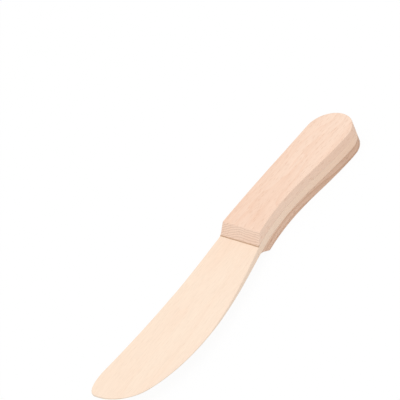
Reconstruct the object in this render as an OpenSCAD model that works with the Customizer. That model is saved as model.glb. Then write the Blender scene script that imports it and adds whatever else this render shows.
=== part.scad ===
/* [Overall] */
// Length of the knife from the butt to the tip
knife_l = 170; // [155:1:190]

/* [Handle] */
// Width across the round butt
butt_w = 23.3; // [22:0.1:27]
// Length from the butt to the foot of the shoulders
handle_l = 79.7; // [72:0.1:90]
// Length of the slope from the front of the handle down to the blade
shoulder_l = 4.3; // [2:0.1:8]
// Length of the slope on the back
back_shoulder_l = 5.2; // [2:0.1:8]
// Thickness of each of the two handle boards
scale_t = 4.2; // [3:0.1:6]
// Reach of the belly side at the waist of the grip, from the centre line of the butt
waist_y = 7.5; // [6:0.1:10]
// Reach of the spine side along the grip
grip_y = 12.3; // [11:0.1:14]

/* [Blade] */
// Thickness of the board that the blade and its tang are cut from
blade_t = 3.3; // [2.4:0.1:5]
// Thickness left at the belly edge and the tip
edge_t = 0.5; // [0.4:0.1:2]
// Width over which each face of the blade slopes down to the edge
taper_run = 31; // [20:1:40]
// Direction in which the blade thins, measured from its length towards the belly
taper_angle = 64; // [55:1:80]
// Reach of the belly side at the foot of the shoulders
neck_belly_y = 10.2; // [9:0.1:13]
// Reach of the spine side at the foot of the shoulders
neck_spine_y = 11.9; // [10.5:0.1:14]
// Reach of the belly at its widest
belly_y = 19; // [16:0.1:24]
// Reach of the spine in its shallow hollow
hollow_y = 10.1; // [8:0.1:12]
// Reach of the spine just before its round corner
corner_y = 12.5; // [11:0.1:15]
// Reach of the belly where it starts to round into the tip
nose_y = 12.4; // [9:0.1:14]
// Reach of the tip towards the spine side
tip_y = 8.3; // [4:0.1:10]

/* [Glue] */
// Thickness of each glue line between a handle board and the tang
glue_t = 0.15; // [0.1:0.05:0.3]

/* [Hidden] */
// Places along the handle, from the butt, as shares of its length
grip_share = 0.64;
waist_share = 0.7;
// Places along the blade, from the foot of the shoulders, as shares of its length
hollow_share = 0.41;
belly_share = 0.53;
nose_share = 0.87;
corner_share = 0.876;
// Slopes of the outline against the length, in degrees
neck_spine_angle = 3;
corner_angle = 6.2;
nose_angle = 27.5;
neck_belly_angle = 14.8;
// How far each span keeps the direction of its knots, as a share of its chord
pull_share = 1 / 3;
// Straight steps that stand for one curved span
span_steps = 16;
// How far a cut runs past what it cuts
overrun = 1;
$fn = 96;

butt_r = butt_w / 2;
blade_l = knife_l - handle_l;
half_t = blade_t / 2;

// Knots of the outline, once round from the butt by the spine, the tip and the belly.
// Each is [place along the knife, reach towards the belly, heading].
knots = [
    [butt_r, -butt_r, 0],
    [handle_l * grip_share, -grip_y, 0],
    [handle_l, -neck_spine_y, neck_spine_angle],
    [handle_l + blade_l * hollow_share, -hollow_y, 0],
    [handle_l + blade_l * corner_share, -corner_y, -corner_angle],
    [knife_l, -tip_y, 90],
    [handle_l + blade_l * nose_share, nose_y, 180 - nose_angle],
    [handle_l + blade_l * belly_share, belly_y, 180],
    [handle_l, neck_belly_y, 180 + neck_belly_angle],
    [handle_l * waist_share, waist_y, 180],
    [butt_r, butt_r, 180],
];

// Point at share s of the span from knot a to knot b, which leaves and meets them along their headings
function span_point(a, b, s) =
    let (from = [a.x, a.y])
    let (to = [b.x, b.y])
    let (pull = norm(to - from) * pull_share)
    let (leave = from + pull * [cos(a.z), sin(a.z)])
    let (meet = to - pull * [cos(b.z), sin(b.z)])
    pow(1 - s, 3) * from + 3 * pow(1 - s, 2) * s * leave + 3 * (1 - s) * s * s * meet + pow(s, 3) * to;

outline = [
    for (i = [0 : len(knots) - 2], k = [0 : span_steps])
        if (k < span_steps || i == len(knots) - 2)
            span_point(knots[i], knots[i + 1], k / span_steps)
];
reaches = [for (p = outline) p.y];
middle_y = (min(reaches) + max(reaches)) / 2;

// Levels of the stack, from the face that the knife lies on
back_glue_z = scale_t;
board_z = back_glue_z + glue_t;
front_glue_z = board_z + blade_t;
front_z = front_glue_z + glue_t;

// A flat board of the whole outline, with its lower face at z = 0 and the centre of the butt at the origin
module board(t) {
    cylinder(h = t, r = butt_r);
    translate([-butt_r, 0, 0])
        linear_extrude(height = t)
            polygon(outline);
}

// Puts a board at its level in the knife
module place(z) {
    translate([butt_r - knife_l / 2, -middle_y, z])
        children();
}

// Extrudes a side profile, drawn as [place along, height], past both edges of the knife
module across(points) {
    rotate([90, 0, 0])
        linear_extrude(height = 2 * knife_l, center = true)
            polygon(points);
}

// A handle board whose z = 0 face is the glued one and whose front end slopes over the given length
module scale_board(slope_l) {
    foot = handle_l - butt_r;
    difference() {
        board(scale_t);
        across([
            [foot + slope_l, -scale_t],
            [knife_l, -scale_t],
            [knife_l, 2 * scale_t],
            [foot - 2 * slope_l, 2 * scale_t],
        ]);
    }
}

// A glue line as wide as the handle, which ends at the foot of the shoulders
module glue_line() {
    difference() {
        board(glue_t);
        translate([handle_l - butt_r, -knife_l / 2, -overrun])
            cube([knife_l, knife_l, glue_t + 2 * overrun]);
    }
}

// What is planed off one face of the blade, seen from the middle of its thickness
module taper_cut() {
    translate([handle_l - butt_r, neck_belly_y, 0])
        rotate([0, 0, taper_angle])
            across([
                [0, half_t],
                [taper_run, edge_t / 2],
                [knife_l, edge_t / 2],
                [knife_l, blade_t],
                [0, blade_t],
            ]);
}

module blade() {
    color([0.98, 0.89, 0.80])
        place(board_z)
            difference() {
                board(blade_t);
                translate([0, 0, half_t])
                    taper_cut();
                translate([0, 0, half_t])
                    mirror([0, 0, 1])
                        taper_cut();
            }
}

module back_scale() {
    color([0.80, 0.66, 0.57])
        place(scale_t)
            mirror([0, 0, 1])
                scale_board(back_shoulder_l);
}

module front_scale() {
    color([0.97, 0.84, 0.75])
        place(front_z)
            scale_board(shoulder_l);
}

module back_glue_line() {
    color([0.66, 0.50, 0.38])
        place(back_glue_z)
            glue_line();
}

module front_glue_line() {
    color([0.66, 0.50, 0.38])
        place(front_glue_z)
            glue_line();
}

back_scale();
back_glue_line();
blade();
front_glue_line();
front_scale();
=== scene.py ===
"""Dresses the wooden butter knife: a pale blade board glued between two pinker handle boards.

Every piece is a board that is worked out as one closed surface: a rounded cross-section is carried along
the knife from the butt to the tip, and its width follows the outline. Lengths are in millimetres until
they go into a mesh. A place on the knife is given by two of them: along, from the end of the butt towards
the tip, and reach, from the centre line of the butt towards the belly.
"""

import logging
import math
from dataclasses import dataclass
from enum import Enum, IntEnum
from typing import Callable

import bmesh
import bpy
import numpy as np
from mathutils import Matrix, Vector


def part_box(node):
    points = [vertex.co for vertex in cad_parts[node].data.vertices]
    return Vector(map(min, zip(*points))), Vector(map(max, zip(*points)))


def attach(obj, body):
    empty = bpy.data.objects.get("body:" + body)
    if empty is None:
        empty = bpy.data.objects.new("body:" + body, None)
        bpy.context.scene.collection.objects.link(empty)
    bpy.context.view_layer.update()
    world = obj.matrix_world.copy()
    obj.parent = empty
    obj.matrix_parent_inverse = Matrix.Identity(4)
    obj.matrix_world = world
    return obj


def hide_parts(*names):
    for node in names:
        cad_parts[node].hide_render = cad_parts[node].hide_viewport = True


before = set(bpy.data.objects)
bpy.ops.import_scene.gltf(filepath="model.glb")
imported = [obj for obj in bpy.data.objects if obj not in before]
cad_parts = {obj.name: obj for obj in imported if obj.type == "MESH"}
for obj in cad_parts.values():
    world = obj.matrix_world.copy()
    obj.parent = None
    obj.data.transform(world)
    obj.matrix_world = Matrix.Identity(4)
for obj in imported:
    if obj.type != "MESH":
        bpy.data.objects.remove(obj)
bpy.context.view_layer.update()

LOG = logging.getLogger("butter_knife")
MM = 0.001

Array = np.ndarray
Pair = tuple[float, float]
HeightField = Callable[[Array, Array], Array]
Tree = bpy.types.NodeTree
Socket = bpy.types.NodeSocket

# Sockets of a Mix node that mixes colours: the two that go in, and the one that comes out.
COLOUR_A = 6
COLOUR_B = 7
COLOUR_OUT = 2

# Band of values that a noise mostly keeps to. It is spread over the whole range of what the noise drives.
NOISE_BAND = {"From Min": 0.3, "From Max": 0.7}

WHITE = (1.0, 1.0, 1.0, 1.0)


class Side(Enum):
    """The two long edges of the knife, with the sign of their reach."""

    SPINE = -1
    BELLY = 1


class Face(Enum):
    """The two broad faces of the knife, with the sign of their height."""

    FRONT = 1
    BACK = -1


class Axis(IntEnum):
    """The axes of the frame: along the knife, across it towards the belly, and up."""

    ALONG = 0
    ACROSS = 1
    UP = 2


def soft_ramp(distance: Array, softness: float) -> Array:
    """Gives softness * log(1 + exp(distance / softness)), a ramp from 0 on with a rounded knee."""
    return softness * np.logaddexp(0.0, distance / softness)


def smooth_step(value: Array, start: float, end: float) -> Array:
    """Rises from 0 at start to 1 at end along the cubic 3t^2 - 2t^3."""
    share = np.clip((value - start) / (end - start), 0.0, 1.0)
    return share * share * (3.0 - 2.0 * share)


def linear_colour(code: str) -> tuple[float, float, float, float]:
    """Turns an sRGB hex code into a linear colour, by the two-part curve of the sRGB standard.

    Args:
        code: Six hex digits, two for each channel.

    Returns:
        Linear red, green, blue and an alpha of 1.
    """
    channels = [int(code[i:i + 2], 16) / 255.0 for i in (0, 2, 4)]
    linear = [c / 12.92 if c <= 0.04045 else ((c + 0.055) / 1.055) ** 2.4 for c in channels]
    return (linear[0], linear[1], linear[2], 1.0)


def add(tree: Tree, kind: str, inputs: dict[str | int, object], **settings: object) -> bpy.types.Node:
    """Adds a node with its settings, values and links.

    Args:
        tree: Node tree that takes the node.
        kind: Blender's type name of the node, without the ShaderNode at its start.
        inputs: Value of each socket, or the output socket that feeds it.
        **settings: Attributes of the node.

    Returns:
        The new node.
    """
    node = tree.nodes.new("ShaderNode" + kind)
    for name, value in settings.items():
        setattr(node, name, value)
    for key, value in inputs.items():
        if isinstance(value, Socket):
            tree.links.new(value, node.inputs[key])
        else:
            node.inputs[key].default_value = value
    return node


def new_material(name: str) -> tuple[bpy.types.Material, Tree]:
    """Makes a material whose node tree is still empty.

    Args:
        name: Name of the material.

    Returns:
        The material and its node tree.
    """
    material = bpy.data.materials.new(name)
    material.use_nodes = True
    material.node_tree.nodes.clear()
    return material, material.node_tree


@dataclass(frozen=True)
class NodeBox:
    """Box of a node of the frame at rest, from its low to its high corner."""

    low: Array
    high: Array

    @classmethod
    def of(cls, node: str) -> "NodeBox":
        """Reads the box of the named node from the frame."""
        low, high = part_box(node)
        return cls(np.array(low) / MM, np.array(high) / MM)

    def length(self, axis: Axis) -> float:
        """Gives the length of the box along one axis."""
        return self.high[axis] - self.low[axis]


@dataclass(frozen=True)
class Knot:
    """A place that an edge of the outline passes, with its heading there, in degrees towards the belly."""

    along: float
    reach: float
    heading: float


@dataclass(frozen=True)
class KnifeOutline:
    """Plan of the knife, which all of its boards follow.

    Attributes:
        length, handle: Length of the knife, and from the butt to the foot of the shoulders.
        butt_radius: Radius of the round butt.
        grip, waist: Reach of the spine and of the belly side of the grip.
        neck_spine, neck_belly: Reach of both sides at the foot of the shoulders.
        hollow, corner: Reach of the spine in its shallow hollow, and just before its round corner.
        belly, nose: Reach of the belly at its widest, and where it starts to round into the tip.
        tip: Reach of the tip towards the spine.
        grip_share, waist_share: Their places, as shares of the handle.
        hollow_share, belly_share, nose_share, corner_share: Their places, as shares of the blade.
        neck_spine_heading, neck_belly_heading, corner_heading, nose_heading: Headings of the edge there.
        pull_share: How far a span keeps the direction of its knots, as a share of its chord.
        span_points: Points that stand for one span, and for the quarter circle at the butt.
    """

    length: float
    handle: float
    butt_radius: float = 11.65
    grip: float = 12.3
    waist: float = 7.5
    neck_spine: float = 11.9
    neck_belly: float = 10.2
    hollow: float = 10.1
    belly: float = 19.0
    corner: float = 12.5
    nose: float = 12.4
    tip: float = 8.3
    grip_share: float = 0.64
    waist_share: float = 0.70
    hollow_share: float = 0.41
    belly_share: float = 0.53
    nose_share: float = 0.87
    corner_share: float = 0.876
    neck_spine_heading: float = 3.0
    neck_belly_heading: float = 14.8
    corner_heading: float = -6.2
    nose_heading: float = -27.5
    pull_share: float = 1 / 3
    span_points: int = 400

    def knots(self, side: Side) -> list[Knot]:
        """Lists the knots of one edge, in the order in which it passes them.

        Args:
            side: Edge of the knife.

        Returns:
            The knots from the end of the round butt to the tip.
        """
        blade = self.length - self.handle
        between = {
            Side.SPINE: [
                Knot(self.handle * self.grip_share, -self.grip, 0.0),
                Knot(self.handle, -self.neck_spine, self.neck_spine_heading),
                Knot(self.handle + blade * self.hollow_share, -self.hollow, 0.0),
                Knot(self.handle + blade * self.corner_share, -self.corner, self.corner_heading),
            ],
            Side.BELLY: [
                Knot(self.handle * self.waist_share, self.waist, 0.0),
                Knot(self.handle, self.neck_belly, self.neck_belly_heading),
                Knot(self.handle + blade * self.belly_share, self.belly, 0.0),
                Knot(self.handle + blade * self.nose_share, self.nose, self.nose_heading),
            ],
        }
        butt = Knot(self.butt_radius, side.value * self.butt_radius, 0.0)
        return [butt, *between[side], Knot(self.length, -self.tip, -90.0 * side.value)]

    def span(self, start: Knot, end: Knot) -> Array:
        """Draws the cubic that leaves and meets two knots along their headings.

        It is a Bezier curve. Its inner control points lie on the headings, pull_share of the chord away.

        Args:
            start: Knot that the span leaves.
            end: Knot that the span meets.

        Returns:
            Points of the span, shape (span_points, 2).
        """
        ends = np.array([[start.along, start.reach], [end.along, end.reach]])
        turns = np.radians([start.heading, end.heading])
        pull = np.linalg.norm(ends[1] - ends[0]) * self.pull_share
        leave = ends[0] + pull * np.array([math.cos(turns[0]), math.sin(turns[0])])
        meet = ends[1] - pull * np.array([math.cos(turns[1]), math.sin(turns[1])])
        s = np.linspace(0.0, 1.0, self.span_points)[:, None]
        leaving = (1 - s) ** 3 * ends[0] + 3 * (1 - s) ** 2 * s * leave
        meeting = 3 * (1 - s) * s**2 * meet + s**3 * ends[1]
        return leaving + meeting

    def edge(self, side: Side) -> Array:
        """Draws one edge from the end of the butt to the tip: a quarter circle, then the cubic spans.

        Args:
            side: Edge of the knife.

        Returns:
            Points of the edge, shape (n, 2), with along never falling.
        """
        knots = self.knots(side)
        turn = np.linspace(0.0, math.pi / 2, self.span_points)
        quarter = self.butt_radius * np.stack([1 - np.cos(turn), side.value * np.sin(turn)], axis=1)
        spans = [self.span(a, b)[1:] for a, b in zip(knots, knots[1:])]
        return np.concatenate([quarter, *spans])

    def sample(self, side: Side, along: Array) -> tuple[Array, Array]:
        """Reads one edge at the given places.

        Args:
            side: Edge of the knife.
            along: Places along the knife.

        Returns:
            The points of the edge and its outward normals, both of shape (n, 2).
        """
        edge = self.edge(side)
        tangent = np.gradient(edge, axis=0)
        tangent /= np.linalg.norm(tangent, axis=1, keepdims=True)
        reach = np.interp(along, edge[:, 0], edge[:, 1])
        run = np.interp(along, edge[:, 0], tangent[:, 0])
        rise = np.interp(along, edge[:, 0], tangent[:, 1])
        normal = side.value * np.stack([-rise, run], axis=1)
        normal /= np.linalg.norm(normal, axis=1, keepdims=True)
        return np.stack([along, reach], axis=1), normal


BLADE_BOX = NodeBox.of("blade")
HANDLE_BOX = NodeBox.of("front_scale")
OUTLINE = KnifeOutline(length=BLADE_BOX.length(Axis.ALONG), handle=HANDLE_BOX.length(Axis.ALONG))
# Where the end of the butt meets the centre line of the butt, in millimetres of the frame.
BUTT_END = np.array([BLADE_BOX.low[Axis.ALONG], BLADE_BOX.high[Axis.ACROSS] - OUTLINE.belly, 0.0])


@dataclass(frozen=True)
class LoftDetail:
    """How finely a board is drawn, and how far it stays inside the outline.

    Attributes:
        inset: Distance of the wall from the outline, which keeps the board inside its solid's box.
        across_steps, arris_steps, wall_steps: Steps across a face, round an arris and down a wall.
        sharp_angle: Angle in degrees past which an edge is shaded sharp.
        merge_gap: Distance within which points are made one, where an end closes.
    """

    inset: float = 0.02
    across_steps: int = 20
    arris_steps: int = 5
    wall_steps: int = 3
    sharp_angle: float = 40.0
    merge_gap: float = 0.0002


@dataclass(frozen=True)
class Loft:
    """A closed board: a cross-section with rounded corners, carried along the knife.

    Attributes:
        stations: Places of the cross-sections.
        lower, upper: Heights of the two faces.
        lower_arris, upper_arris: Radius of the rounded corners at each station.
        detail: How finely it is drawn.
    """

    stations: Array
    lower: HeightField
    upper: HeightField
    lower_arris: Array
    upper_arris: Array
    detail: LoftDetail = LoftDetail()

    def edge_columns(self, side: Side) -> Array:
        """Works out the columns of one edge, from the upper face over the wall to the lower face.

        A point on an arris lies inset by radius * (1 - sin a) along the normal of the outline and lowered
        by radius * (1 - cos a), where a runs from 0 on the face to 90 degrees on the wall.

        Args:
            side: Edge of the knife.

        Returns:
            Points of shape (stations, columns, 3).
        """
        point, normal = OUTLINE.sample(side, self.stations)
        turn = np.linspace(0.0, math.pi / 2, self.detail.arris_steps + 1)
        sink, drop = 1 - np.sin(turn), 1 - np.cos(turn)
        faces = ((self.upper, self.upper_arris, -1.0), (self.lower, self.lower_arris, 1.0))
        rows = []
        for height, radius, sign in faces:
            inner = point - normal * (self.detail.inset + radius[:, None])
            level = height(inner[:, 0], inner[:, 1])
            rows.append((radius[:, None] * sink, level[:, None] + sign * radius[:, None] * drop))
        share = np.linspace(0.0, 1.0, self.detail.wall_steps + 1)[1:-1]
        wall = rows[0][1][:, -1:] * (1 - share) + rows[1][1][:, -1:] * share
        sunk = np.concatenate([rows[0][0], np.zeros_like(wall), rows[1][0][:, ::-1]], axis=1)
        level = np.concatenate([rows[0][1], wall, rows[1][1][:, ::-1]], axis=1)
        plan = point[:, None, :] - normal[:, None, :] * (self.detail.inset + sunk[..., None])
        return np.concatenate([plan, level[..., None]], axis=2)

    def face_columns(self, first: Array, last: Array, height: HeightField) -> Array:
        """Works out the columns across a face, on straight lines between the inner ends of two arrises.

        The columns crowd towards both edges, at shares (1 - cos(pi t)) / 2, so that the flat stays flat.

        Args:
            first: Points where the face starts, shape (stations, 3).
            last: Points where it ends.
            height: Height of the face.

        Returns:
            Points between the two, shape (stations, across_steps - 1, 3).
        """
        t = np.linspace(0.0, 1.0, self.detail.across_steps + 1)[1:-1]
        share = ((1 - np.cos(math.pi * t)) / 2)[:, None]
        plan = first[:, None, :2] * (1 - share) + last[:, None, :2] * share
        level = height(plan[..., 0], plan[..., 1])
        return np.concatenate([plan, level[..., None]], axis=2)

    def grid(self) -> Array:
        """Works out the whole surface, loop by loop.

        Returns:
            Points of shape (stations, loop, 3), where a loop runs once round a cross-section.
        """
        belly = self.edge_columns(Side.BELLY)
        spine = self.edge_columns(Side.SPINE)[:, ::-1]
        top = self.face_columns(spine[:, -1], belly[:, 0], self.upper)
        bottom = self.face_columns(belly[:, -1], spine[:, 0], self.lower)
        return np.concatenate([top, belly, bottom, spine], axis=1)

    def mesh(self, name: str) -> bpy.types.Mesh:
        """Puts the surface into a mesh, in the frame of the part.

        Both ends close, because the cross-section shrinks to a line there and its points are made one.

        Args:
            name: Name of the mesh.

        Returns:
            A closed mesh, smooth but for its sharp edges.
        """
        grid = self.grid()
        stations, loop = grid.shape[:2]
        index = np.arange(stations * loop).reshape(stations, loop)
        after = np.roll(index, -1, axis=1)
        quads = np.stack([index[:-1], index[1:], after[1:], after[:-1]], axis=2).reshape(-1, 4)
        points = (grid.reshape(-1, 3) + BUTT_END) * MM
        mesh = bpy.data.meshes.new(name)
        mesh.from_pydata(points.tolist(), [], quads.tolist())
        work = bmesh.new()
        work.from_mesh(mesh)
        bmesh.ops.remove_doubles(work, verts=work.verts, dist=self.detail.merge_gap * MM)
        work.to_mesh(mesh)
        work.free()
        mesh.polygons.foreach_set("use_smooth", np.ones(len(mesh.polygons), dtype=bool))
        mesh.set_sharp_from_angle(angle=math.radians(self.detail.sharp_angle))
        mesh.update()
        return mesh


@dataclass(frozen=True)
class Stations:
    """Places of the cross-sections, closer together where the knife turns or bends.

    Attributes:
        spacing: Distance between two of them on the straight stretches.
        tip_run: Length before the tip over which they close up.
        bend_run: Length on each side of a bend over which they lie closest.
        turn_steps, bend_steps: Steps round the butt and round the tip, and over a bend.
        least_gap: Least distance of any other from the last.
        digits: Decimals that tell two places apart.
    """

    spacing: float = 1.0
    tip_run: float = 16.0
    bend_run: float = 1.5
    turn_steps: int = 32
    bend_steps: int = 24
    least_gap: float = 0.05
    digits: int = 6

    def up_to(self, end: float, bend: float | None = None) -> Array:
        """Lists the places from the butt to the given end.

        Round the butt and the tip they follow radius * (1 - cos a), for equal steps of the angle a.

        Args:
            end: Last place.
            bend: Middle of the place where the height bends, if there is one.

        Returns:
            Places in rising order.
        """
        turn = np.linspace(0.0, math.pi / 2, self.turn_steps + 1)
        butt = OUTLINE.butt_radius * (1 - np.cos(turn))
        tip = OUTLINE.length - self.tip_run * (1 - np.cos(turn))
        places = [butt, np.arange(OUTLINE.butt_radius, OUTLINE.length - self.tip_run, self.spacing), tip]
        if bend is not None:
            places.append(bend + np.linspace(-self.bend_run, self.bend_run, self.bend_steps + 1))
        every = np.unique(np.round(np.concatenate(places), self.digits))
        return np.append(every[every < end - self.least_gap], end)


@dataclass(frozen=True)
class HandWear:
    """Slight unevenness of a hand-sanded arris: a long and a short sine about 1.

    Attributes:
        long_share, short_share: How much each sine adds or takes away.
        long_run, short_run: Length along the knife over which each turns by one radian.
        phase_ratio: How many times further the phase moves the short sine.
    """

    long_share: float = 0.15
    short_share: float = 0.10
    long_run: float = 7.3
    short_run: float = 2.9
    phase_ratio: float = 2.1

    def factor(self, along: Array, phase: float) -> Array:
        """Gives the factor on the radius of an arris, the sum of the two sines and 1.

        Args:
            along: Places along the knife.
            phase: Start of the sines in radians, so that no two arrises are alike.

        Returns:
            A factor between 0.75 and 1.25.
        """
        long_sine = np.sin(along / self.long_run + phase)
        short_sine = np.sin(along / self.short_run + self.phase_ratio * phase)
        return 1 + self.long_share * long_sine + self.short_share * short_sine


STATIONS = Stations()
HAND_WEAR = HandWear()


@dataclass(frozen=True)
class BeechFinish:
    """Sanded, unoiled beech, with growth rings, ray flecks and fibres in one solid grain.

    A tone is a share of the way from the pale wood to the wood of the rings. Tones add up.

    Attributes:
        name: Name of the material.
        pale, ring, fleck: sRGB hex codes of the pale wood, the ring wood and the rays.
        ring_spacing: Width of a growth ring.
        heart: Place of the heart in the tree, across and up.
        fleck_size, fleck_share: Length and width of a ray fleck on a face, and its strength.
        ring_share: Tone that the outer side of a ring adds.
        face_drift_and_shade, edge_drift_and_shade: Tone of faces and of edges, at the butt and at the end
        of the
            drift. On the front board the edges hold painted shade at the butt and painted light towards the
            shoulder. On the blade the drift is painted shade and pink reflected light on the tang's edge
            and neck.
        drift_reach: Length of that drift, as a share of the handle.
        patchiness, patch_size: Tone that soft patches add, and their length and width.
        end_grain, end_lines, end_tone: How much darker cut ends and their rings look, and their tone.
        offset: Place in the tree of the origin of the frame, along and across.
        warp, warp_size: How far the rings stray from circles, and length and width of one bulge.
        late_power: How steeply a ring darkens towards its outer side.
        fleck_room, fleck_depth: Length and width of the space of a fleck, in flecks, and its depth.
        fleck_fade: Distances from its seed between which a fleck fades out, in spaces.
        fibre_size: Length and width of a streak. A real fibre is 0.02 mm wide, too fine to show.
        fibre_tint: Darkest and lightest factor that the fibres put on the wood.
        turn_band: How far a surface faces an axis where that starts to count, and where it counts fully.
        fleck_relief: Height of a fleck in the bump, where that of a fibre is 1.
        bump_height, bump_strength: Height of the fibres after sanding, and strength of the bump.
        roughness, roughness_spread: Roughness of the wood, and what smooth and rough fibres add.
        ior, specular: Index of refraction and level of the sheen of dry wood.
    """

    name: str
    pale: str
    ring: str
    fleck: str
    ring_spacing: float
    heart: Pair
    fleck_size: Pair
    fleck_share: float
    ring_share: float
    face_drift_and_shade: Pair
    edge_drift_and_shade: Pair
    drift_reach: float = 1.0
    patchiness: float = 0.35
    patch_size: Pair = (40.0, 8.3)
    end_grain: float = 0.08
    end_lines: float = 0.15
    end_tone: float = 0.0
    offset: Pair = (0.0, 0.0)
    warp: float = 5.0
    warp_size: Pair = (50.0, 14.3)
    late_power: float = 3.0
    fleck_room: Pair = (2.0, 4.0)
    fleck_depth: float = 1.5
    fleck_fade: Pair = (0.14, 0.34)
    fibre_size: Pair = (6.25, 0.42)
    fibre_tint: Pair = (0.955, 1.03)
    turn_band: Pair = (0.2, 0.8)
    fleck_relief: float = -0.6
    bump_height: float = 0.04
    bump_strength: float = 0.35
    roughness: float = 0.62
    roughness_spread: Pair = (-0.05, 0.06)
    ior: float = 1.5
    specular: float = 0.3

    def build(self) -> bpy.types.Material:
        """Makes the material: the patterns of the wood, its colour from them, and its dry surface.

        The fibres stand a little proud, and there is hardly any sheen.

        Returns:
            The finished material.
        """
        material, tree = new_material(self.name)
        coordinate = add(tree, "TexCoord", {})
        here = add(tree, "SeparateXYZ", {0: coordinate.outputs["Object"]}).outputs[0]
        place = add(tree, "Mapping", {
            "Vector": coordinate.outputs["Object"], "Scale": (1 / MM, 1 / MM, 1 / MM),
            "Location": (*self.offset, 0.0)}).outputs[0]
        normal = add(tree, "SeparateXYZ", {0: coordinate.outputs["Normal"]})
        cross_cut = self.facing(tree, normal, Axis.ALONG, 0.0, 1.0)
        # Partly painted light: where the face and edge drifts differ, as on the front board, the walls hold
        # painted shade at the butt and painted light towards the shoulder.
        edge_tone_and_shade = self.drift_along(tree, here, self.edge_drift_and_shade)
        face_tone_and_shade = self.drift_along(tree, here, self.face_drift_and_shade)
        drift = self.facing(tree, normal, Axis.UP, edge_tone_and_shade, face_tone_and_shade)
        rings = self.growth_rings(tree, place)
        flecks = self.ray_flecks(tree, place)
        fibres = self.streaks(tree, place, self.fibre_size, detail=3.0, roughness=0.6)
        patches = add(tree, "MapRange", {
            "Value": self.streaks(tree, place, self.patch_size), **NOISE_BAND,
            "To Min": 0.0, "To Max": self.patchiness}).outputs[0]
        sawn = add(tree, "Math", {0: patches, 1: drift}, operation="ADD").outputs[0]
        tone = add(tree, "Math", {
            0: cross_cut, 1: self.end_tone, 2: sawn}, operation="MULTIPLY_ADD").outputs[0]
        colour = self.wood_colour(tree, rings, flecks, fibres, tone, cross_cut)
        relief = add(tree, "Math", {
            0: flecks, 1: self.fleck_relief, 2: fibres}, operation="MULTIPLY_ADD").outputs[0]
        bump = add(tree, "Bump", {
            "Strength": self.bump_strength, "Distance": self.bump_height * MM, "Height": relief}).outputs[0]
        smooth, rough = (self.roughness + spread for spread in self.roughness_spread)
        roughness = add(tree, "MapRange", {
            "Value": fibres, **NOISE_BAND, "To Min": smooth, "To Max": rough}).outputs[0]
        shader = add(tree, "BsdfPrincipled", {
            "Base Color": colour, "Roughness": roughness, "Normal": bump,
            "IOR": self.ior, "Specular IOR Level": self.specular})
        add(tree, "OutputMaterial", {"Surface": shader.outputs[0]})
        return material

    def facing(
        self, tree: Tree, normal: bpy.types.Node, axis: Axis, away: float | Socket, towards: float | Socket
    ) -> Socket:
        """Blends from away to towards, the more the surface faces along an axis, on either side."""
        share = add(tree, "Math", {0: normal.outputs[axis]}, operation="ABSOLUTE").outputs[0]
        return add(tree, "MapRange", {
            "Value": share, "From Min": self.turn_band[0], "From Max": self.turn_band[1],
            "To Min": away, "To Max": towards}, interpolation_type="SMOOTHSTEP").outputs[0]

    def drift_along(self, tree: Tree, here: Socket, ends: Pair) -> Socket:
        """Changes the tone evenly from the butt forward, over drift_reach lengths of the handle."""
        butt = BUTT_END[Axis.ALONG] * MM
        return add(tree, "MapRange", {
            "Value": here, "From Min": butt, "From Max": butt + self.drift_reach * OUTLINE.handle * MM,
            "To Min": ends[0], "To Max": ends[1]}).outputs[0]

    def streaks(
        self, tree: Tree, place: Socket, size: Pair, detail: float = 2.0, roughness: float = 0.5
    ) -> Socket:
        """Draws streaks along the grain: a noise at the place divided by the size of a streak.

        Args:
            tree: Node tree of the material.
            place: Place in the tree, in millimetres.
            size: Length and width of one streak.
            detail: Number of finer noises that are added.
            roughness: Strength of each finer noise, as a share of the last.

        Returns:
            The streaks, between 0 and 1.
        """
        length, width = size
        streak = add(tree, "VectorMath", {
            0: place, 1: (1 / length, 1 / width, 1 / width)}, operation="MULTIPLY").outputs[0]
        return add(tree, "TexNoise", {
            "Vector": streak, "Scale": 1.0, "Detail": detail, "Roughness": roughness}).outputs[0]

    def growth_rings(self, tree: Tree, place: Socket) -> Socket:
        """Draws the rings: the distance from the heart, slightly warped, counted in ring widths.

        They are circles about the heart of the tree, which runs along the knife. The value is the share of
        the way through a ring, raised to late_power, so it rises to the outer side and drops back at once.

        Args:
            tree: Node tree of the material.
            place: Place in the tree, in millimetres.

        Returns:
            The rings, 0 on early wood and 1 on late wood.
        """
        from_heart = add(tree, "VectorMath", {
            0: place, 1: (0.0, 1.0, 1.0), 2: (0.0, -self.heart[0], -self.heart[1]),
        }, operation="MULTIPLY_ADD").outputs[0]
        distance = add(tree, "VectorMath", {0: from_heart}, operation="LENGTH").outputs["Value"]
        bulge = self.streaks(tree, place, self.warp_size)
        warped = add(tree, "Math", {
            0: bulge, 1: self.warp, 2: distance}, operation="MULTIPLY_ADD").outputs[0]
        count = add(tree, "Math", {0: warped, 1: self.ring_spacing}, operation="DIVIDE").outputs[0]
        share = add(tree, "Math", {0: count}, operation="FRACT").outputs[0]
        return add(tree, "Math", {0: share, 1: self.late_power}, operation="POWER").outputs[0]

    def ray_flecks(self, tree: Tree, place: Socket) -> Socket:
        """Draws the rays, which show on a face as short dark dashes along the grain.

        Each seed of a Voronoi pattern, stretched to the size of a fleck, fades out from its middle.

        Args:
            tree: Node tree of the material.
            place: Place in the tree, in millimetres.

        Returns:
            The strength of the flecks, up to fleck_share.
        """
        length, width = (room * size for room, size in zip(self.fleck_room, self.fleck_size))
        space = add(tree, "VectorMath", {
            0: place, 1: (1 / length, 1 / width, 1 / self.fleck_depth)}, operation="MULTIPLY").outputs[0]
        from_seed = add(tree, "TexVoronoi", {"Vector": space, "Scale": 1.0}).outputs["Distance"]
        return add(tree, "MapRange", {
            "Value": from_seed, "From Min": self.fleck_fade[0], "From Max": self.fleck_fade[1],
            "To Min": self.fleck_share, "To Max": 0.0}, interpolation_type="SMOOTHSTEP").outputs[0]

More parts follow.
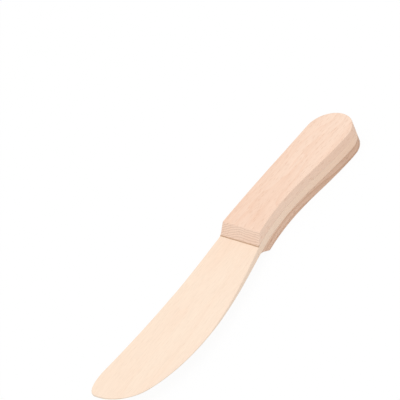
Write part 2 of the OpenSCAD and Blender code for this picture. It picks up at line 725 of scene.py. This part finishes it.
    def wood_colour(
        self, tree: Tree, rings: Socket, flecks: Socket, fibres: Socket, tone: Socket, cross_cut: Socket
    ) -> Socket:
        """Mixes the colour of the wood: tone and rings, then the streaks of the fibres, then flecks.

        Where the fibres are cut across, it is darkened to 1 less end_grain, less end_lines times the ring.

        Args:
            tree: Node tree of the material.
            rings: Growth rings.
            flecks: Strength of the ray flecks.
            fibres: Streaks of the fibres.
            tone: Tone of this place without its rings.
            cross_cut: 1 where the fibres are cut across, 0 along them.

        Returns:
            The colour.
        """
        ringed = add(tree, "Math", {
            0: rings, 1: self.ring_share, 2: tone}, operation="MULTIPLY_ADD", use_clamp=True).outputs[0]
        wood = add(tree, "Mix", {
            "Factor": ringed, COLOUR_A: linear_colour(self.pale), COLOUR_B: linear_colour(self.ring),
        }, data_type="RGBA").outputs[COLOUR_OUT]
        tint = add(tree, "MapRange", {
            "Value": fibres, **NOISE_BAND,
            "To Min": self.fibre_tint[0], "To Max": self.fibre_tint[1]}).outputs[0]
        streaked = add(tree, "Mix", {
            "Factor": 1.0, COLOUR_A: wood, COLOUR_B: tint,
        }, data_type="RGBA", blend_type="MULTIPLY").outputs[COLOUR_OUT]
        flecked = add(tree, "Mix", {
            "Factor": flecks, COLOUR_A: streaked, COLOUR_B: linear_colour(self.fleck),
        }, data_type="RGBA").outputs[COLOUR_OUT]
        open_ends = add(tree, "Math", {
            0: rings, 1: -self.end_lines, 2: 1.0 - self.end_grain}, operation="MULTIPLY_ADD").outputs[0]
        factor = add(tree, "MapRange", {
            "Value": cross_cut, "To Min": 1.0, "To Max": open_ends}).outputs[0]
        return add(tree, "Mix", {
            "Factor": 1.0, COLOUR_A: flecked, COLOUR_B: factor,
        }, data_type="RGBA", blend_type="MULTIPLY").outputs[COLOUR_OUT]


@dataclass(frozen=True)
class GlueFinish:
    """Dried wood glue: brown in the bead at the foot, and pale with wood dust where it was sanded flush.

    Attributes:
        name: Name of the material.
        dark, light: sRGB hex codes of bare glue, which is a little uneven. The dark brown of the bead at
            the foot
        is partly glue and partly painted shade of the crevice there.
        dusty: sRGB hex code of the glue with the dust of both woods in it.
        sanded_end: Length before the foot of the shoulders that the sander didn't reach.
        sanded_fade: Length over which the dust thins out there.
        smear: Length of a smear. The grit itself is 0.1 mm wide, too fine to show.
        bump_height, bump_strength: Height of the smears, and strength of the bump.
        roughness, ior: Satin gloss and index of refraction of dried glue.
    """

    name: str = "wood glue, dried, painted shade at the foot"
    # Partly painted shade: the bead's dark brown also stands for the shade in the crevice at the foot.
    dark: str = "B69172"
    light: str = "DAB89C"
    dusty: str = "ECD0BA"
    sanded_end: float = 0.4
    sanded_fade: float = 0.6
    smear: float = 1.7
    bump_height: float = 0.05
    bump_strength: float = 0.4
    roughness: float = 0.5
    ior: float = 1.48

    def build(self) -> bpy.types.Material:
        """Makes the material: two browns mixed by a fine noise, then the dust, with a low satin gloss.

        Returns:
            The finished material.
        """
        material, tree = new_material(self.name)
        place = add(tree, "TexCoord", {}).outputs["Object"]
        smears = add(tree, "TexNoise", {
            "Vector": place, "Scale": 1 / (self.smear * MM), "Detail": 3.0}).outputs[0]
        bare = add(tree, "Mix", {
            "Factor": smears, COLOUR_A: linear_colour(self.dark), COLOUR_B: linear_colour(self.light),
        }, data_type="RGBA").outputs[COLOUR_OUT]
        here = add(tree, "SeparateXYZ", {0: place}).outputs[0]
        end = (BUTT_END[Axis.ALONG] + OUTLINE.handle - self.sanded_end) * MM
        sanded = add(tree, "MapRange", {
            "Value": here, "From Min": end - self.sanded_fade * MM, "From Max": end,
            "To Min": 1.0, "To Max": 0.0}).outputs[0]
        colour = add(tree, "Mix", {
            "Factor": sanded, COLOUR_A: bare, COLOUR_B: linear_colour(self.dusty),
        }, data_type="RGBA").outputs[COLOUR_OUT]
        bump = add(tree, "Bump", {
            "Strength": self.bump_strength, "Distance": self.bump_height * MM, "Height": smears}).outputs[0]
        shader = add(tree, "BsdfPrincipled", {
            "Base Color": colour, "Normal": bump, "Roughness": self.roughness, "IOR": self.ior})
        add(tree, "OutputMaterial", {"Surface": shader.outputs[0]})
        return material


def place_piece(
    mesh: bpy.types.Mesh, material: bpy.types.Material, node: str
) -> bpy.types.Object:
    """Adds a finished mesh to the knife in place of its plain solid.

    Args:
        mesh: Mesh in the frame of the part.
        material: Material that covers it.
        node: Node of the frame that it stands for.

    Returns:
        The object, which rides on the knife.
    """
    piece = bpy.data.objects.new(mesh.name, mesh)
    bpy.context.scene.collection.objects.link(piece)
    mesh.materials.append(material)
    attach(piece, "root")
    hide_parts(node)
    return piece


@dataclass(frozen=True)
class BladeBoard:
    """The thin pale board: the blade with its full-length tang.

    Attributes:
        edge_thickness: Thickness that is left at the edge.
        taper_run: Width over which each face slopes down to it.
        taper_angle: Direction in which the blade thins, in degrees from its length towards the belly.
        knee: Softness of both ends of that slope.
        arris, covered_arris: Radius of the arrises of the blade, and of the tang inside the handle.
        arris_share: Most that an arris takes of half the thickness.
        bare_from, bare_to: Where the one goes over into the other, from the foot of the shoulders.
        wear_phase: Start of the unevenness of its arrises.
    """

    edge_thickness: float = 0.5
    taper_run: float = 31.0
    taper_angle: float = 64.0
    knee: float = 1.5
    arris: float = 0.4
    covered_arris: float = 0.02
    arris_share: float = 0.9
    bare_from: float = -0.2
    bare_to: float = 2.5
    wear_phase: float = 0.4

    def half_thickness(self, along: Array, reach: Array) -> Array:
        """Gives half the thickness of the board.

        It is constant on the tang. Past a slanting line through the belly side of the neck it falls evenly
        to that of the edge over taper_run, with both ends of the slope rounded.

        Args:
            along: Places along the knife.
            reach: Reaches towards the belly.

        Returns:
            Half the thickness.
        """
        angle = math.radians(self.taper_angle)
        past = (along - OUTLINE.handle) * math.cos(angle) + (reach - OUTLINE.neck_belly) * math.sin(angle)
        full = BLADE_BOX.length(Axis.UP) / 2
        share = (soft_ramp(past, self.knee) - soft_ramp(past - self.taper_run, self.knee)) / self.taper_run
        return full - (full - self.edge_thickness / 2) * share

    def loft(self) -> Loft:
        """Shapes the board. Its arrises are round on the blade and square where the handle covers it.

        Returns:
            The surface of the board.
        """
        stations = STATIONS.up_to(OUTLINE.length, OUTLINE.handle)
        middle = (BLADE_BOX.low[Axis.UP] + BLADE_BOX.high[Axis.UP]) / 2
        edge = OUTLINE.sample(Side.BELLY, stations)[0]
        most = self.arris_share * self.half_thickness(edge[:, 0], edge[:, 1])
        bare = smooth_step(stations, OUTLINE.handle + self.bare_from, OUTLINE.handle + self.bare_to)
        worn = bare * self.arris * HAND_WEAR.factor(stations, self.wear_phase)
        arris = np.minimum(self.covered_arris + worn, most)
        return Loft(
            stations, lambda x, y: middle - self.half_thickness(x, y),
            lambda x, y: middle + self.half_thickness(x, y), arris, arris)

    def build(self, finish: BeechFinish) -> bpy.types.Object:
        """Makes the board, dresses it in the given wood and puts it in its place."""
        return place_piece(self.loft().mesh("blade_board"), finish.build(), "blade")


def laid_on_tang(
    face: Face,
    node: str,
    stations: Array,
    rise: Callable[[Array], Array],
    arrises: tuple[Array, Array],
    detail: LoftDetail = LoftDetail(),
) -> Loft:
    """Shapes a board whose glued face is flat. On the back of the tang it is turned over.

    Args:
        face: Face of the tang that it lies on.
        node: Node that gives its two levels.
        stations: Places of the cross-sections.
        rise: Height over the glued face at a place along the knife.
        arrises: Radius of its arrises at the glued and at the free face, at each station.
        detail: How finely it is drawn.

    Returns:
        The surface of the board.
    """
    box = NodeBox.of(node)
    glued, free = arrises
    if face is Face.FRONT:
        base = box.low[Axis.UP]
        return Loft(stations, lambda x, y: base + 0 * x, lambda x, y: base + rise(x), glued, free, detail)
    base = box.high[Axis.UP]
    return Loft(stations, lambda x, y: base - rise(x), lambda x, y: base + 0 * x, free, glued, detail)


@dataclass(frozen=True)
class HandleBoard:
    """A pinker handle board with one sloping shoulder, glued to one face of the tang.

    Attributes:
        face: Face of the tang that it is glued to.
        node: Node that it stands for.
        slot: Name of a material slot. It is not used.
        shoulder: Length of the slope.
        knee: Softness of the bend at the top of the slope.
        arris, arris_share: Radius of the arrises of its free face, and most that one takes of its height.
        glued_arris, glued_arris_share: The same for its glued face.
        wear_phase: Start of the unevenness of its arrises, before the sign of its face is added.
    """

    face: Face
    node: str
    slot: str
    shoulder: float
    knee: float = 0.16
    arris: float = 0.35
    arris_share: float = 0.45
    glued_arris: float = 0.01
    glued_arris_share: float = 0.2
    wear_phase: float = 1.0

    def rise(self, along: Array) -> Array:
        """Gives the height over the glued face: all of the board, less a soft ramp down to the foot.

        The ramp starts at the top of the shoulder and falls by the thickness over its length.

        Args:
            along: Places along the knife.

        Returns:
            The height, never below 0.
        """
        thickness = NodeBox.of(self.node).length(Axis.UP)
        slope = thickness / self.shoulder
        past = along - (OUTLINE.handle - self.shoulder)
        return np.maximum(thickness - slope * soft_ramp(past, self.knee), 0.0)

    def build(self, finish: BeechFinish) -> bpy.types.Object:
        """Makes the board, dresses it and puts it in its place.

        Args:
            finish: Wood of the board.

        Returns:
            The handle piece.
        """
        stations = STATIONS.up_to(OUTLINE.handle, OUTLINE.handle - self.shoulder)
        height = self.rise(stations)
        worn = self.arris * HAND_WEAR.factor(stations, self.wear_phase + self.face.value)
        free = np.minimum(worn, self.arris_share * height)
        glued = np.minimum(self.glued_arris, self.glued_arris_share * height)
        loft = laid_on_tang(self.face, self.node, stations, self.rise, (glued, free))
        mesh = loft.mesh(f"{self.face.name.lower()}_handle_board")
        return place_piece(mesh, finish.build(), self.node)


@dataclass(frozen=True)
class GlueLine:
    """The glue between a handle board and the tang, with the little bead that it leaves at the foot.

    Attributes:
        face: Face of the tang that it lies on.
        node: Node that it stands for.
        slot: Name of a material slot. It is not used.
        bead, bead_steps: Radius of the bead, and steps along it.
        arris, arris_share: Radius of its rounded edges, and most that one takes of its height.
        detail: How finely it is drawn, and how far it lies in from the edges of the boards.
    """

    face: Face
    node: str
    slot: str = "glue"
    bead: float = 0.30
    bead_steps: int = 12
    arris: float = 0.05
    arris_share: float = 0.4
    detail: LoftDetail = LoftDetail(inset=0.03, across_steps=4, arris_steps=2, wall_steps=1)

    def rise(self, along: Array) -> Array:
        """Gives the height over the tang: that of the film, with half a circle about the foot on top.

        The bead is bead * sqrt(1 - t^2) high, where t is the distance from the foot over its radius.

        Args:
            along: Places along the knife.

        Returns:
            The height, 0 past the bead.
        """
        out = np.clip((along - OUTLINE.handle) / self.bead, -1.0, 1.0)
        film = NodeBox.of(self.node).length(Axis.UP) * (out < 0)
        bead = self.bead * np.sqrt(1 - out**2)
        return np.where(np.abs(out) < 1, np.maximum(film, bead), film)

    def build(self, material: bpy.types.Material) -> bpy.types.Object:
        """Makes the film and its bead, dresses it and puts it in its place.

        Args:
            material: The glue.

        Returns:
            The glue piece.
        """
        end = OUTLINE.handle + self.bead
        along_bead = np.linspace(end - 2 * self.bead, end, self.bead_steps + 1)
        stations = np.unique(np.concatenate([STATIONS.up_to(end), along_bead]))
        soft = np.minimum(self.arris, self.arris_share * self.rise(stations))
        loft = laid_on_tang(self.face, self.node, stations, self.rise, (soft, soft), self.detail)
        mesh = loft.mesh(f"{self.face.name.lower()}_glue_film")
        return place_piece(mesh, material, self.node)


@dataclass(frozen=True)
class Studio:
    """Plain soft light, a white floor that keeps the shadow, and the camera.

    Attributes:
        azimuth, elevation, roll: Where the camera looks from and how it is held, in degrees.
        target, distance: Place in the frame that it looks at, and how far away it stands.
        lens, sensor: Focal length, and width of the picture in the camera.
        nearest: Least distance that the camera shows.
        sky: Strength of the sky on the knife.
        lamp_power: Power of the lamp, in watts.
        lamp_size, lamp_height: Side of the square lamp, and its height over the floor.
        floor_size: Side of the floor.
        floor_tone: How much light the floor gives back to the knife.
        floor_white: How much of the floor's look is plain white. The rest takes the shadow.
    """

    azimuth: float = 146.41
    elevation: float = 36.72
    roll: float = -26.63
    target: tuple[float, float, float] = (-21.88, -41.87, 6.0)
    distance: float = 580.9
    lens: float = 116.75
    sensor: float = 36.0
    nearest: float = 10.0
    sky: float = 0.76
    lamp_power: float = 4.0
    lamp_size: float = 900.0
    lamp_height: float = 1100.0
    floor_size: float = 6000.0
    floor_tone: float = 0.85
    floor_white: float = 0.95

    def seen(self, tree: Tree) -> Socket:
        """Picks out the rays that show the background: from the camera, a reflection or through glass.

        Args:
            tree: Node tree of the floor or the sky.

        Returns:
            1 for such a ray and 0 for one that brings light.
        """
        path = add(tree, "LightPath", {})
        rays = [path.outputs[f"Is {kind} Ray"] for kind in ("Camera", "Glossy", "Transmission")]
        either = add(tree, "Math", {0: rays[0], 1: rays[1]}, operation="MAXIMUM").outputs[0]
        return add(tree, "Math", {0: either, 1: rays[2]}, operation="MAXIMUM").outputs[0]

    def floor_material(self) -> bpy.types.Material:
        """Makes the floor: matt pale paper to the light, and to the eye white with a faint shadow.

        Returns:
            The finished material.
        """
        material, tree = new_material("studio floor, matt paper")
        seen = self.seen(tree)
        tone = add(tree, "MapRange", {
            "Value": seen, "To Min": self.floor_tone, "To Max": 1.0}).outputs[0]
        paper = add(tree, "BsdfDiffuse", {"Color": tone}).outputs[0]
        white = add(tree, "Emission", {"Color": WHITE}).outputs[0]
        share = add(tree, "Math", {0: seen, 1: self.floor_white}, operation="MULTIPLY").outputs[0]
        both = add(tree, "MixShader", {0: share, 1: paper, 2: white}).outputs[0]
        add(tree, "OutputMaterial", {"Surface": both})
        return material

    def build_floor(self) -> None:
        """Lays the floor that the knife rests on."""
        half = self.floor_size * MM / 2
        mesh = bpy.data.meshes.new("studio_floor")
        corners = [(-half, -half, 0.0), (half, -half, 0.0), (half, half, 0.0), (-half, half, 0.0)]
        mesh.from_pydata(corners, [], [(0, 1, 2, 3)])
        mesh.materials.append(self.floor_material())
        floor = bpy.data.objects.new("studio_floor", mesh)
        bpy.context.scene.collection.objects.link(floor)

    def build_light(self) -> None:
        """Sets the even white sky and one large soft lamp overhead."""
        world = bpy.data.worlds.new("studio sky")
        bpy.context.scene.world = world
        world.use_nodes = True
        tree = world.node_tree
        tree.nodes.clear()
        strength = add(tree, "MapRange", {
            "Value": self.seen(tree), "To Min": self.sky, "To Max": 1.0}).outputs[0]
        sky = add(tree, "Background", {"Color": WHITE, "Strength": strength}).outputs[0]
        add(tree, "OutputWorld", {"Surface": sky})
        lamp = bpy.data.lights.new("overhead softbox", "AREA")
        lamp.shape = "SQUARE"
        lamp.size = self.lamp_size * MM
        lamp.energy = self.lamp_power
        holder = bpy.data.objects.new("overhead softbox", lamp)
        holder.location = (0.0, 0.0, self.lamp_height * MM)
        bpy.context.scene.collection.objects.link(holder)

    def build_camera(self) -> None:
        """Sets the camera: back along its azimuth and elevation, then rolled about its line of sight."""
        azimuth, elevation, roll = (math.radians(a) for a in (self.azimuth, self.elevation, self.roll))
        flat = math.cos(elevation)
        back = Vector((math.sin(azimuth) * flat, -math.cos(azimuth) * flat, math.sin(elevation)))
        level = Vector((math.cos(azimuth), math.sin(azimuth), 0.0))
        rise = back.cross(level)
        right = level * math.cos(roll) + rise * math.sin(roll)
        up = back.cross(right)
        camera = bpy.data.cameras.new("photograph")
        camera.sensor_width = self.sensor
        camera.lens = self.lens
        camera.clip_start = self.nearest * MM
        holder = bpy.data.objects.new("photograph", camera)
        moved = Matrix.Translation((Vector(self.target) + back * self.distance) * MM)
        holder.matrix_world = moved @ Matrix((right, up, back)).transposed().to_4x4()
        bpy.context.scene.collection.objects.link(holder)
        bpy.context.scene.camera = holder

    def build(self) -> None:
        """Builds the floor, the light and the camera."""
        bpy.context.scene.view_settings.view_transform = "Standard"
        self.build_floor()
        self.build_light()
        self.build_camera()


# Steamed beech, flat-sawn and fine-sanded: warm pink, with short brown dashes and soft broad rings.
FRONT_BEECH = BeechFinish(
    name="beech, steamed, flat-sawn and sanded",
    pale="FCE2CE",
    ring="EEC4AA",
    fleck="CFA182",
    ring_spacing=0.72,
    heart=(4.0, -62.0),
    fleck_size=(2.2, 0.22),
    fleck_share=0.25,
    ring_share=0.24,
    # The edges' own drift is painted light: darker than the face at the butt and lighter at the shoulder.
    face_drift_and_shade=(0.08, 0.40),
    edge_drift_and_shade=(0.36, 0.20),
    patchiness=0.25,
    end_grain=0.02,
    end_lines=0.25,
    end_tone=-0.16,
)
# The same beech from a redder board: darker, partly from the board and partly as painted shade of the
# knife's lower side, with wide rings that show along its edge as brown lines.
BACK_BEECH = BeechFinish(
    name="beech, steamed, redder board, sanded",
    # Partly painted shade: these colours are darkened for the shade on the knife's lower side.
    pale="ECCAB3",
    ring="D1AA8F",
    fleck="B28467",
    ring_spacing=2.1,
    heart=(-9.0, -49.0),
    fleck_size=(2.0, 0.22),
    fleck_share=0.30,
    ring_share=0.8,
    face_drift_and_shade=(0.34, -0.16),
    edge_drift_and_shade=(0.34, -0.16),
    offset=(55.0, 20.35),
)
# Unsteamed white beech, planed thin and fine-sanded: paler and yellower, with hardly any mark. Its drift is
# painted shade and pink reflected light from the handle: darker and pinker towards the butt, fading out on
# the neck.
BLADE_BEECH = BeechFinish(
    name="beech, white, planed and fine-sanded",
    pale="FBE5D0",
    ring="F6D2B8",
    fleck="DFB796",
    ring_spacing=2.6,
    heart=(12.0, -80.0),
    fleck_size=(2.0, 0.20),
    fleck_share=0.11,
    ring_share=0.12,
    # Painted shade and pink reflected light, carried a quarter of the handle past the foot of the
    # shoulders.
    face_drift_and_shade=(0.72, 0.0),
    edge_drift_and_shade=(0.72, 0.0),
    drift_reach=1.25,
    patchiness=0.16,
    end_grain=0.05,
    roughness=0.56,
    offset=(87.0, 32.19),
)

FRONT_BOARD = HandleBoard(Face.FRONT, "front_scale", "front_board", shoulder=4.3)
BACK_BOARD = HandleBoard(Face.BACK, "back_scale", "back_board", shoulder=5.2)
GLUE_LINES = (GlueLine(Face.FRONT, "front_glue_line"), GlueLine(Face.BACK, "back_glue_line"))


def main() -> None:
    """Builds the knife and the studio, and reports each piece."""
    logging.basicConfig(level=logging.INFO, format="%(name)s: %(message)s")
    pieces = [BladeBoard().build(BLADE_BEECH), FRONT_BOARD.build(FRONT_BEECH), BACK_BOARD.build(BACK_BEECH)]
    glue = GlueFinish().build()
    pieces += [line.build(glue) for line in GLUE_LINES]
    for piece in pieces:
        LOG.info("%s: %d faces in %s", piece.name, len(piece.data.polygons), piece.data.materials[0].name)
    Studio().build()


if __name__ == "__main__":
    main()
